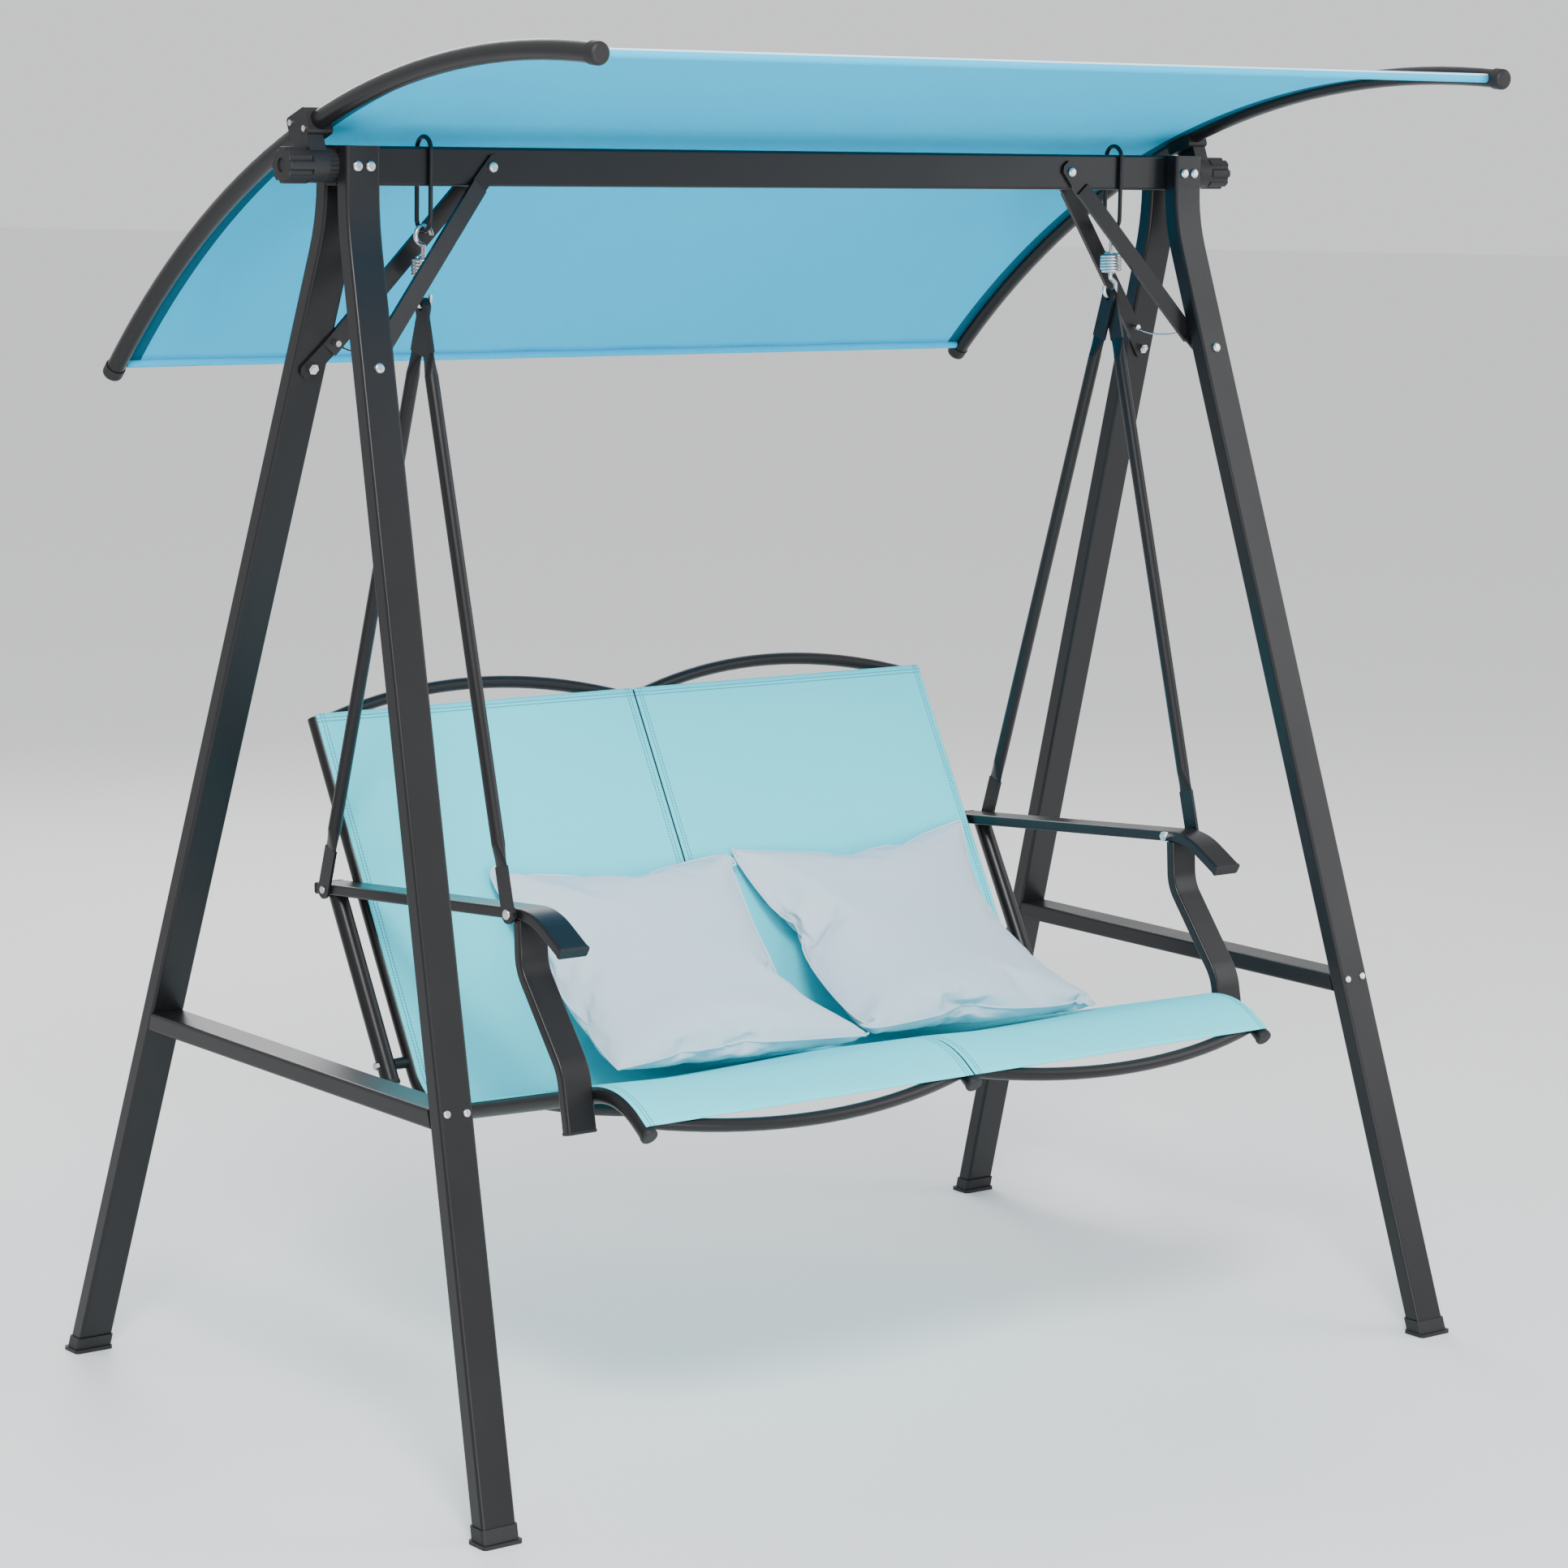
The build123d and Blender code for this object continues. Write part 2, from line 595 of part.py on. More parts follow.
def cross_tubes(end_point, middle_point):
    """A curved tube on each half of the chair, coped to the side rail and the middle rail."""
    arc = ThreePointArc(end_point(RAIL_X - 6), middle_point(RAIL_X / 2), end_point(6))
    tube = rod(arc, CROSS_TUBE) - rod(arc, CROSS_TUBE - RAIL_WALL)
    tube = cut(tube, *fat_rails(0, RAIL_X))
    tube = max(tube.solids(), key=lambda solid: solid.volume)
    return sides(tube)


def make_back_arches():
    return cross_tubes(lambda x: back_point(x, BACK_LONG - 8), lambda x: back_point(x, BACK_LONG - 8 + ARCH_RISE))


def make_front_arches():
    low = NOSE_LONG - 22
    return cross_tubes(lambda x: nose_point(x, low), lambda x: nose_point(x, low + NOSE_RISE))


def make_seat_arches():
    return cross_tubes(lambda x: seat_point(x, SEAT_BOLT), lambda x: seat_point(x, SEAT_BOLT, -SEAT_DIP))


def make_low_back_arches():
    return cross_tubes(lambda x: back_point(x, LOW_BACK), lambda x: back_point(x, LOW_BACK, -LOW_BACK_DIP))


SEAT_BOLT = 262.0
LOW_BACK = 105.0
ARM_SLOPE = (FRONT_BOLT[1] - REAR_BOLT[1]) / (FRONT_BOLT[0] - REAR_BOLT[0])


def arm_height(y):
    return FRONT_BOLT[1] + (y - FRONT_BOLT[0]) * ARM_SLOPE


def arm_path():
    """Armrest centre line: level behind, bent down in front of the front bolt."""
    bend = (ARM_X, -244.0, arm_height(-244.0))
    end = (ARM_X, bend[1] - 75 * cos(radians(30)), bend[2] - 75 * sin(radians(30)))
    return FilletPolyline((ARM_X, ARM_REAR_Y, arm_height(ARM_REAR_Y)), bend, end, radius=100)


def upright_path():
    """Front support of the arm: down, a step forward, and down again past the seat rail."""
    top_y = -215.0
    top_z = arm_height(top_y) - ARM_DEEP / 2 - 0.6
    points = ((ARM_X, top_y, top_z), (ARM_X, -219.5, 637), (ARM_X, -313, 520), (ARM_X, -328.5, 445))
    return FilletPolyline(*points, radius=[60, 70])


def arm_tube(path):
    return box_tube(path, ARM_WIDE, ARM_DEEP, ARM_WALL, ARM_CORNER)


def end_plug(path, at_start):
    """Plastic plug in the end of an arm tube, with a thin visible cap."""
    place = path @ (0 if at_start else 1)
    heading = (path % 0) * -1 if at_start else path % 1
    seat = Plane(origin=place, x_dir=(1, 0, 0), z_dir=heading)
    cap = extrude(RectangleRounded(ARM_WIDE + 1, ARM_DEEP + 1, ARM_CORNER), 4)
    cap = fillet(cap.edges().group_by(Axis.Z)[-1], 1.5)
    inner = 2 * ARM_WALL + 0.4
    stub = extrude(RectangleRounded(ARM_WIDE - inner, ARM_DEEP - inner, ARM_CORNER - ARM_WALL), -12)
    return seat * (cap + stub)


def round_plug(path, at_start, radius):
    """Plastic plug in the end of a round tube."""
    place = path @ (0 if at_start else 1)
    heading = (path % 0) * -1 if at_start else path % 1
    seat = Plane(origin=place, z_dir=heading)
    cap = Pos(0, 0, 3) * Cylinder(radius + 0.8, 6)
    cap = fillet(cap.edges().group_by(Axis.Z)[-1], 3)
    return seat * (cap + Pos(0, 0, -6) * Cylinder(radius - RAIL_WALL - 0.3, 12))


def arm_bolt_seat(place, flat_x):
    return facing_x(flat_x + FLAT_THICK / 2, place[0], place[1])


FRONT_FLAT_X = HANG_X + HANGER_STEP
BACK_FLAT_X = HANG_X - HANGER_STEP
UPRIGHT_BOLT = (-319.6, 485.6)
POST_BOLT = back_point(0, 78)[1:]


def make_armrest():
    front_hole = bore(arm_bolt_seat(FRONT_BOLT, FRONT_FLAT_X), M8 + HOLE_GAP, 80)
    rear_hole = bore(arm_bolt_seat(REAR_BOLT, BACK_FLAT_X), M6 + HOLE_GAP, 20)
    return cut(arm_tube(arm_path()), front_hole, rear_hole)


def rail_bolt_seat(y, z):
    """Seat on the inner side of the side rail, facing the middle of the chair."""
    return facing_x(RAIL_X - RAIL_TUBE, y, z, -1)


def make_upright():
    return arm_tube(upright_path()) - bore(rail_bolt_seat(*UPRIGHT_BOLT), M6 + HOLE_GAP, 35)


def post_path():
    return Line(back_point(POST_X, 55), back_point(POST_X, 330))


def make_post():
    """Rear support of the arm, parallel to the back, trimmed to the arm's underside."""
    post = pipe(post_path(), POST_TUBE, RAIL_WALL)
    y = REAR_BOLT[0]
    origin = (POST_X, y, arm_height(y) - ARM_DEEP / 2 - 0.2)
    above = Plane(origin=origin, x_dir=(1, 0, 0), z_dir=(0, -ARM_SLOPE, 1)) * Pos(0, 0, 50) * Box(100, 200, 100)
    hole = bore(rail_bolt_seat(*POST_BOLT), M6 + HOLE_GAP, 80)
    return cut(post, above, hole)


def make_spacers():
    """Sleeve between rail and post, and the washer that packs the front hanger out from the arm."""
    gap = POST_X - POST_TUBE - RAIL_X - RAIL_TUBE
    sleeve = facing_x(RAIL_X + RAIL_TUBE - 2, *POST_BOLT) * Pos(0, 0, gap / 2 + 2) * Cylinder(8, gap + 4)
    sleeve = sleeve - bore(rail_bolt_seat(*POST_BOLT), M6 + HOLE_GAP, 80)
    sleeve = cut(sleeve, fat_rails(RAIL_X)[0], rod(post_path(), POST_TUBE + COPE_GAP))
    wall = ARM_X + ARM_WIDE / 2
    thick = FRONT_FLAT_X - FLAT_THICK / 2 - wall - 0.1
    washer = facing_x(wall + 0.05, *FRONT_BOLT) * Pos(0, 0, thick / 2) * Cylinder(10, thick)
    washer = washer - bore(arm_bolt_seat(FRONT_BOLT, FRONT_FLAT_X), M8 + HOLE_GAP, 80)
    return [*sides(sleeve), *sides(washer)]


def make_chair_bolts():
    """Through-bolts of arms, uprights, posts and seat tubes."""
    arm_wall = ARM_X - ARM_WIDE / 2
    front_seat = arm_bolt_seat(FRONT_BOLT, FRONT_FLAT_X)
    back_seat = arm_bolt_seat(REAR_BOLT, BACK_FLAT_X)
    bolts = [bolt(front_seat, FRONT_FLAT_X + FLAT_THICK / 2 - arm_wall, M8)]
    outer_wall = ARM_X + ARM_WIDE / 2 - ARM_WALL
    bolts.append(bolt(back_seat, BACK_FLAT_X + FLAT_THICK / 2 - outer_wall + 0.2, M6))
    upright_grip = ARM_X - ARM_WIDE / 2 + ARM_WALL - RAIL_X + RAIL_TUBE + 0.2
    bolts.append(bolt(rail_bolt_seat(*UPRIGHT_BOLT), upright_grip, M6))
    post_grip = POST_X + POST_TUBE - RAIL_X + RAIL_TUBE
    bolts.append(bolt(rail_bolt_seat(*POST_BOLT), post_grip, M6))
    return [mirrored for item in bolts for mirrored in sides(item)]


def hanger_local(length, top_hole, low_hole):
    """Hanger along local z: round tube whose ends taper to drilled flats, thin along x."""
    def flat(z_hole, way):
        plate = Pos(0, 0, z_hole + way * FLAT_LONG / 2) * Box(FLAT_THICK, FLAT_WIDE, FLAT_LONG)
        return plate + Pos(0, 0, z_hole) * Rot(0, 90, 0) * Cylinder(FLAT_WIDE / 2, FLAT_THICK)

    def taper(z_flat, z_round, thin, wide, radius):
        return loft([Pos(0, 0, z_flat) * Ellipse(thin, wide), Pos(0, 0, z_round) * Circle(radius)])

    low = FLAT_LONG
    high = length - FLAT_LONG
    middle = Pos(0, 0, length / 2) * Cylinder(HANGER_TUBE, high - low - 2 * TAPER_LONG)
    shape = flat(0, 1) + flat(length, -1) + middle
    shape = shape + taper(low, low + TAPER_LONG, FLAT_THICK / 2, FLAT_WIDE / 2, HANGER_TUBE)
    shape = shape + taper(high, high - TAPER_LONG, FLAT_THICK / 2, FLAT_WIDE / 2, HANGER_TUBE)
    hollow = Pos(0, 0, length / 2) * Cylinder(HANGER_TUBE - HANGER_WALL, high - low - 2 * TAPER_LONG - 2)
    low_bore = Rot(0, 90, 0) * Cylinder(low_hole, 20)
    top_bore = Pos(0, 0, length) * Rot(0, 90, 0) * Cylinder(top_hole, 20)
    return shape - hollow - low_bore - top_bore


def make_hanger(place, flat_x, bolt_radius):
    rise = (0, -place[0], ROCK_Z - place[1])
    frame = Plane(origin=(flat_x, *place), x_dir=(1, 0, 0), z_dir=rise)
    return frame * hanger_local(hypot(*rise[1:]), HOOK_ROD + 1.6, bolt_radius + HOLE_GAP)


# ---------------------------------------------------------------- soft parts

def band_line(forward):
    """The sling's line at one distance in front of the rail line, with its two bends."""
    nose_shift = forward * tan(radians(SEAT_RISE + NOSE_DROP) / 2)
    top = back_point(0, BACK_LONG + 2, forward)
    low = back_point(0, corner_offset(forward), forward)
    nose = seat_point(0, SEAT_LONG + nose_shift, forward)
    tip = nose_point(0, NOSE_LONG - 4, forward)
    return FilletPolyline(top, low, nose, tip, radius=[CORNER_BEND - forward, NOSE_BEND + forward])


def corner_offset(forward):
    """How far up the back the corner moves when the sling's line lies in front of the rails."""
    inside = 90 + RECLINE - SEAT_RISE
    return forward / tan(radians(inside / 2))


def make_sling():
    """One right-hand sling panel, as its back part and its seat part."""
    near = band_line(RAIL_TUBE + SLING_GAP)
    far = band_line(RAIL_TUBE + SLING_GAP + SLING_THICK)
    face = make_face([*near.edges(), Line(near @ 1, far @ 1), *far.edges(), Line(far @ 0, near @ 0)])
    width = RAIL_X + SLING_EDGE - SEAM_HALF
    panel = Pos(SEAM_HALF, 0, 0) * extrude(face, width, dir=(1, 0, 0))
    inside = 90 + RECLINE - SEAT_RISE
    lean = radians(RECLINE - inside / 2)
    cutter = Plane(origin=(0, *CORNER), x_dir=(1, 0, 0), z_dir=(0, -cos(lean), sin(lean)))
    return split(panel, bisect_by=cutter, keep=Keep.BOTTOM), split(panel, bisect_by=cutter, keep=Keep.TOP)


def make_pillow(x):
    """Square cushion, thin at its seams, that leans from the seat to the back."""
    half = PILLOW_SIDE / 2
    seam = PILLOW_SEAM / 2
    bulge = PILLOW_THICK / 2
    over = ThreePointArc((-half, seam), (0, bulge), (half, seam))
    under = ThreePointArc((half, -seam), (0, -bulge), (-half, -seam))
    section = make_face([over, Line(over @ 1, under @ 0), under, Line(under @ 1, over @ 0)])
    pad = Plane.XZ * extrude(section, half, both=True)
    pad = pad & (Rot(0, 0, 90) * pad)
    rest = RAIL_TUBE + SLING_GAP + SLING_THICK + 4
    low = Vector(*seat_point(x, 214, rest))
    high = Vector(*back_point(x, 332, rest))
    frame = Plane(origin=(low + high) * 0.5, x_dir=(1, 0, 0), z_dir=Vector(1, 0, 0).cross(high - low))
    return frame * Pos(0, 0, PILLOW_LIFT) * Rot(0, 0, -PILLOW_TWIST) * pad


# ---------------------------------------------------------------- assembly

def build_stand():
    keep("crossbeam", make_beam())
    leg = make_leg()
    brace = make_brace()
    for name, back in (("leg", leg), ("brace", brace)):
        keep(f"back_right_{name}", back)
        keep(f"back_left_{name}", left(back))
        keep(f"front_right_{name}", front(back))
        keep(f"front_left_{name}", left(front(back)))
    bar = make_side_bar()
    keep("right_side_bar", bar)
    keep("left_side_bar", left(bar))
    plates = make_end_plates()
    keep("side_bar_end_plates", *corners(plates))
    keep("tie_wires", *sides(make_tie(brace)))
    keep("feet", *corners(make_foot()))
    keep("tilt_hubs", *sides(make_hub()))
    keep("hanging_loops", *sides(make_loop()))
    beam_bolts = [bolt(seat, THROUGH_LEGS, M8) for seat in top_bolt_seats()]
    keep("beam_bolts", *[item for each in beam_bolts for item in sides(each)])
    keep("side_bar_bolts", *make_bar_bolts())
    upper = bolt(BRACE_TOP, THROUGH_BRACES, M8)
    lower = bolt(BRACE_LOW, TUBE_DEEP + TAB_THICK, M8)
    keep("brace_bolts", *sides(upper), *corners(lower))


def build_canopy():
    tube = make_arc_tube()
    keep("right_canopy_tube", tube)
    keep("left_canopy_tube", left(tube))
    caps = [make_arc_cap(ARC_FRONT, -1), make_arc_cap(ARC_BACK, 1)]
    keep("canopy_tube_caps", *[item for cap in caps for item in sides(cap)])
    keep("canopy_fabric", make_canopy_fabric())
    keep("hem_rods", make_hem_rod(ARC_FRONT + FABRIC_MARGIN, -1), make_hem_rod(ARC_BACK - FABRIC_MARGIN, 1))
    bracket = make_bracket()
    keep("right_canopy_bracket", bracket)
    keep("left_canopy_bracket", left(bracket))
    keep("clamp_screws", *[item for screw in make_clamp_screws() for item in sides(screw)])
    knob = make_knob()
    keep("right_knob", knob)
    keep("left_knob", left(knob))


def build_suspension():
    for name, shape in (("upper_hook", make_upper_hook()), ("spring", make_coil()), ("lower_hook", make_lower_hook())):
        keep(f"right_{name}", shape)
        keep(f"left_{name}", left(shape))


def build_chair():
    pairs = {
        "side_rail": make_side_rail(),
        "armrest": make_armrest(),
        "arm_upright": make_upright(),
        "arm_post": make_post(),
        "front_hanger": make_hanger(FRONT_BOLT, FRONT_FLAT_X, M8),
        "back_hanger": make_hanger(REAR_BOLT, BACK_FLAT_X, M6),
    }
    back_sling, seat_sling = make_sling()
    pairs["back_sling"] = back_sling
    pairs["seat_sling"] = seat_sling
    for name, shape in pairs.items():
        keep(f"right_{name}", shape)
        keep(f"left_{name}", left(shape))
    keep("middle_rail", make_rail(0))
    keep("back_arches", *make_back_arches())
    keep("front_arches", *make_front_arches())
    keep("seat_arches", *make_seat_arches(), *make_low_back_arches())
    arm_plugs = [end_plug(arm_path(), True), end_plug(arm_path(), False), end_plug(upright_path(), False)]
    arm_plugs.append(round_plug(rail_path(RAIL_X), False, RAIL_TUBE))
    arm_plugs.append(round_plug(post_path(), True, POST_TUBE))
    middle_plug = round_plug(rail_path(0), False, RAIL_TUBE)
    keep("end_plugs", *[item for plug in arm_plugs for item in sides(plug)], middle_plug)
    keep("chair_bolts", *make_chair_bolts())
    keep("spacers", *make_spacers())
    for name, x in zip(("left_pillow", "right_pillow"), PILLOW_CENTRES):
        keep(name, make_pillow(x))


def main():
    os.makedirs("parts", exist_ok=True)
    build_stand()
    build_canopy()
    build_suspension()
    build_chair()
    for name, shape in parts.items():
        export_step(Pos(0, BEAM_Y, 0) * shape, f"parts/{name}.step")


main()
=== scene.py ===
import json
import math
import random

import bpy
import numpy as np
from mathutils import Matrix, Vector


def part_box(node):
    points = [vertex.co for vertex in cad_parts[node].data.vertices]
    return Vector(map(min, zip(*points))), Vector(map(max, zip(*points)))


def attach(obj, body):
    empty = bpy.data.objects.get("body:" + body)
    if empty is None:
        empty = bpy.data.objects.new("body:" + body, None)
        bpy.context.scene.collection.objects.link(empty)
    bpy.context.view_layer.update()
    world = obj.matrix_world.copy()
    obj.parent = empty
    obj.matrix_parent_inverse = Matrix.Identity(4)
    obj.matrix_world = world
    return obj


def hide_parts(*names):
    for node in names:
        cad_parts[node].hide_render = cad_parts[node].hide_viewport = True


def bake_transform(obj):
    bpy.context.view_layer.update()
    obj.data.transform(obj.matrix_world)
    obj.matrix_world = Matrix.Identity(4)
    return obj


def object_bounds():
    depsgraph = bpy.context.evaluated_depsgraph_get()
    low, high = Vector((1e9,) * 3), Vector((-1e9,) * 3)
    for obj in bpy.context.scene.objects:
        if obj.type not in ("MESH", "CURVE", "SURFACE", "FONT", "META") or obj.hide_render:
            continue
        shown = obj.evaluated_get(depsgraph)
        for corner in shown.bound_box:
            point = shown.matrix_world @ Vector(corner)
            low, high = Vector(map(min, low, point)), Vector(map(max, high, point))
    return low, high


random.seed(7)
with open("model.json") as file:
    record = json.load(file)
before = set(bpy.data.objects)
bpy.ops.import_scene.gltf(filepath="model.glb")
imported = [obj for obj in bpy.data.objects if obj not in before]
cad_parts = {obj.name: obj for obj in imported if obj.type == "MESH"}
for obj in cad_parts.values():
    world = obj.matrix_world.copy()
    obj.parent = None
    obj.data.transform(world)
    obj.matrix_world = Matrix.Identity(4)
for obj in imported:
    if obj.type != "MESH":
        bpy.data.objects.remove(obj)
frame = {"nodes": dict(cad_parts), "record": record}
cad_low, cad_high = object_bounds()
beam_low, beam_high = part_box("crossbeam")
BEAM_Y = (beam_low.y + beam_high.y) / 2

# ---------------------------------------------------------------- camera

YAW = math.radians(38.08)
PITCH = math.radians(8.81)
ROLL = math.radians(1.05)
EYE = Vector((-3.639, -4.6561 + BEAM_Y, 1.715))
LENS_MM = 98.74
SENSOR_MM = 36.0
VIEW_END = 60


def add_camera():
    level = math.cos(PITCH)
    forward = Vector((math.sin(YAW) * level, math.cos(YAW) * level, -math.sin(PITCH)))
    right = Vector((math.cos(YAW), -math.sin(YAW), 0))
    up = right.cross(forward)
    right_rolled = right * math.cos(ROLL) + up * math.sin(ROLL)
    up_rolled = up * math.cos(ROLL) - right * math.sin(ROLL)
    data = bpy.data.cameras.new("camera")
    data.lens = LENS_MM
    data.sensor_width = SENSOR_MM
    data.clip_end = VIEW_END
    camera = bpy.data.objects.new("camera", data)
    turn = Matrix((right_rolled, up_rolled, -forward)).transposed().to_4x4()
    camera.matrix_world = Matrix.Translation(EYE) @ turn
    bpy.context.scene.collection.objects.link(camera)
    bpy.context.scene.camera = camera


add_camera()

# ---------------------------------------------------------------- light and floor


def area_light(name, place, target, size, power):
    """Round soft light at a place, turned to its target. Size in metres, power in watts."""
    data = bpy.data.lights.new(name, "AREA")
    data.shape = "DISK"
    data.size = size
    data.energy = power
    light = bpy.data.objects.new(name, data)
    light.location = place
    light.rotation_euler = (Vector(target) - Vector(place)).to_track_quat("-Z", "Y").to_euler()
    bpy.context.scene.collection.objects.link(light)


area_light("key", place=(-2.6, -3.4, 4.4), target=(0, 0, 0.8), size=1.6, power=300)
area_light("fill", place=(4.2, -3.0, 2.6), target=(0, 0, 0.9), size=3.5, power=80)
area_light("rim", place=(1.5, 4.2, 3.2), target=(0, 0, 1.0), size=2.5, power=100)
area_light("bounce", place=(-0.6, -3.6, 0.5), target=(0, 0, 1.7), size=2.2, power=70)

SKY = (0.96, 0.97, 0.99, 1)
SKY_STRENGTH = 1.0
FLOOR_SIZE = 120

world = bpy.data.worlds.new("studio")
world.use_nodes = True
background = world.node_tree.nodes["Background"]
background.inputs["Color"].default_value = SKY
background.inputs["Strength"].default_value = SKY_STRENGTH
bpy.context.scene.world = world

# ---------------------------------------------------------------- materials


SLING_WIDTH = 0.5359
STITCH_ROWS = (0.007, 0.012)
STITCH_HALF = 0.0009
STITCH_LONG = 0.0045
STITCH_SHARE = 0.78


class Paint:
    """Shader builder: a Principled material plus small helpers that add nodes to it."""

    def __init__(self, name, colour, roughness, metallic=0.0):
        self.material = bpy.data.materials.new(name)
        self.material.use_nodes = True
        self.tree = self.material.node_tree
        self.shader = self.tree.nodes["Principled BSDF"]
        self.shader.inputs["Base Color"].default_value = (*colour, 1)
        self.shader.inputs["Roughness"].default_value = roughness
        self.shader.inputs["Metallic"].default_value = metallic

    def math(self, operation, a, b=0.0, c=0.0):
        node = self.tree.nodes.new("ShaderNodeMath")
        node.operation = operation
        for socket, value in zip(node.inputs, (a, b, c)):
            if isinstance(value, (int, float)):
                socket.default_value = value
            else:
                self.tree.links.new(value, socket)
        return node.outputs[0]

    def coordinate(self, which):
        return self.tree.nodes.new("ShaderNodeTexCoord").outputs[which]

    def uv(self):
        split = self.tree.nodes.new("ShaderNodeSeparateXYZ")
        self.tree.links.new(self.coordinate("UV"), split.inputs[0])
        return split.outputs[0], split.outputs[1]

    def noise(self, scale, detail=2.0):
        node = self.tree.nodes.new("ShaderNodeTexNoise")
        node.inputs["Scale"].default_value = scale
        node.inputs["Detail"].default_value = detail
        self.tree.links.new(self.coordinate("Object"), node.inputs["Vector"])
        return node.outputs[0]

    def spread(self, value, low, high):
        node = self.tree.nodes.new("ShaderNodeMapRange")
        node.inputs["To Min"].default_value = low
        node.inputs["To Max"].default_value = high
        self.tree.links.new(value, node.inputs["Value"])
        return node.outputs[0]

    def mix(self, factor, first, second):
        node = self.tree.nodes.new("ShaderNodeMix")
        node.data_type = "RGBA"
        for socket, value in ((node.inputs[6], first), (node.inputs[7], second)):
            if isinstance(value, tuple):
                socket.default_value = (*value, 1)
            else:
                self.tree.links.new(value, socket)
        self.tree.links.new(factor, node.inputs[0])
        return node.outputs[2]

    def bump(self, height, strength, distance):
        node = self.tree.nodes.new("ShaderNodeBump")
        node.inputs["Strength"].default_value = strength
        node.inputs["Distance"].default_value = distance
        self.tree.links.new(height, node.inputs["Height"])
        self.tree.links.new(node.outputs[0], self.shader.inputs["Normal"])

    def drive(self, name, value):
        self.tree.links.new(value, self.shader.inputs[name])

    def weave(self, period):
        """Height of a plain weave whose threads run along both directions of the UV map, in metres."""
        u, v = self.uv()
        turn = 2 * math.pi / period
        warp = self.math("SINE", self.math("MULTIPLY", u, turn))
        weft = self.math("SINE", self.math("MULTIPLY", v, turn))
        return self.math("MULTIPLY", warp, weft)

    def stitches(self, across, place, along):
        """1 on a row of stitches: at a place across it, dashed along it, in UV metres."""
        row = self.math("COMPARE", across, place, STITCH_HALF)
        wave = self.math("FRACT", self.math("DIVIDE", along, STITCH_LONG))
        return self.math("MULTIPLY", row, self.math("LESS_THAN", wave, STITCH_SHARE))


def powder_coat():
    paint = Paint("black_powder_coat", (0.008, 0.008, 0.009), roughness=0.34)
    patches = paint.noise(scale=9.0, detail=3.0)
    paint.drive("Roughness", paint.spread(patches, low=0.26, high=0.42))
    paint.bump(paint.noise(scale=900.0), strength=0.12, distance=0.0004)
    paint.shader.inputs["Specular IOR Level"].default_value = 0.3
    return paint.material


def moulded_plastic():
    paint = Paint("moulded_black_plastic", (0.010, 0.010, 0.011), roughness=0.5)
    paint.shader.inputs["Specular IOR Level"].default_value = 0.35
    paint.drive("Roughness", paint.spread(paint.noise(scale=60.0), low=0.45, high=0.62))
    paint.bump(paint.noise(scale=1500.0), strength=0.25, distance=0.0005)
    return paint.material


def zinc():
    paint = Paint("zinc_plate", (0.62, 0.63, 0.64), roughness=0.28, metallic=1.0)
    spots = paint.noise(scale=140.0, detail=4.0)
    paint.drive("Base Color", paint.mix(spots, (0.50, 0.51, 0.53), (0.74, 0.75, 0.76)))
    paint.drive("Roughness", paint.spread(paint.noise(scale=45.0), low=0.18, high=0.38))
    return paint.material


def cloth(name, colour, shade, period, through=0.0):
    """Woven cloth. period is the thread spacing, through the share of light that seeps in."""
    paint = Paint(name, colour, roughness=0.75)
    tone = paint.noise(scale=6.0, detail=3.0)
    paint.drive("Base Color", paint.mix(tone, shade, colour))
    paint.shader.inputs["Specular IOR Level"].default_value = 0.04
    paint.bump(paint.weave(period), strength=0.35, distance=0.0006)
    if through:
        paint.shader.inputs["Subsurface Weight"].default_value = through
        paint.shader.inputs["Subsurface Radius"].default_value = (0.01, 0.01, 0.01)
    return paint


CYAN = (0.000, 0.560, 0.900)
CYAN_SHADE = (0.000, 0.520, 0.870)
# Dark teal of the painted shade that the side tubes cast on the canopy's edges.
TUBE_SHADE_TEAL = (0.008, 0.10, 0.16)
PALE = (0.110, 0.820, 0.920)
PALE_SHADE = (0.095, 0.790, 0.900)
# White of the painted highlight along the canopy's front hem.
HIGHLIGHT_WHITE = (0.80, 0.86, 0.90)
THREAD = (0.03, 0.36, 0.48)
PILLOW = (0.66, 0.76, 0.83)
PILLOW_SHADE = (0.60, 0.71, 0.79)
CANOPY_THREADS = 0.0014
SLING_THREADS = 0.0016
PILLOW_THREADS = 0.0012


def canopy_cloth():
    return cloth("canopy_cloth", CYAN, CYAN_SHADE, CANOPY_THREADS, through=0.1).material


def sling_cloth():
    """Pale cyan weave with two stitched rows along the top edge and along both long edges."""
    paint = cloth("sling_cloth", PALE, PALE_SHADE, SLING_THREADS, through=0.05)
    base = paint.shader.inputs["Base Color"].links[0].from_socket
    u, v = paint.uv()
    rows = [paint.stitches(v, place, u) for place in STITCH_ROWS]
    for place in STITCH_ROWS:
        rows.append(paint.stitches(u, place, v))
        rows.append(paint.stitches(u, SLING_WIDTH - place, v))
    mask = rows[0]
    for row in rows[1:]:
        mask = paint.math("MAXIMUM", mask, row)
    paint.drive("Base Color", paint.mix(mask, base, THREAD))
    return paint.material


def pillow_cloth():
    paint = cloth("pillow_cloth", PILLOW, PILLOW_SHADE, PILLOW_THREADS)
    paint.drive("Roughness", paint.spread(paint.noise(scale=20.0), low=0.42, high=0.6))
    return paint.material


MATERIALS = {
    "black_frame": powder_coat(),
    "black_plastic": moulded_plastic(),
    "bright_steel": zinc(),
    "canopy_cloth": canopy_cloth(),
    "sling_cloth": sling_cloth(),
    "pillow_cloth": pillow_cloth(),
}
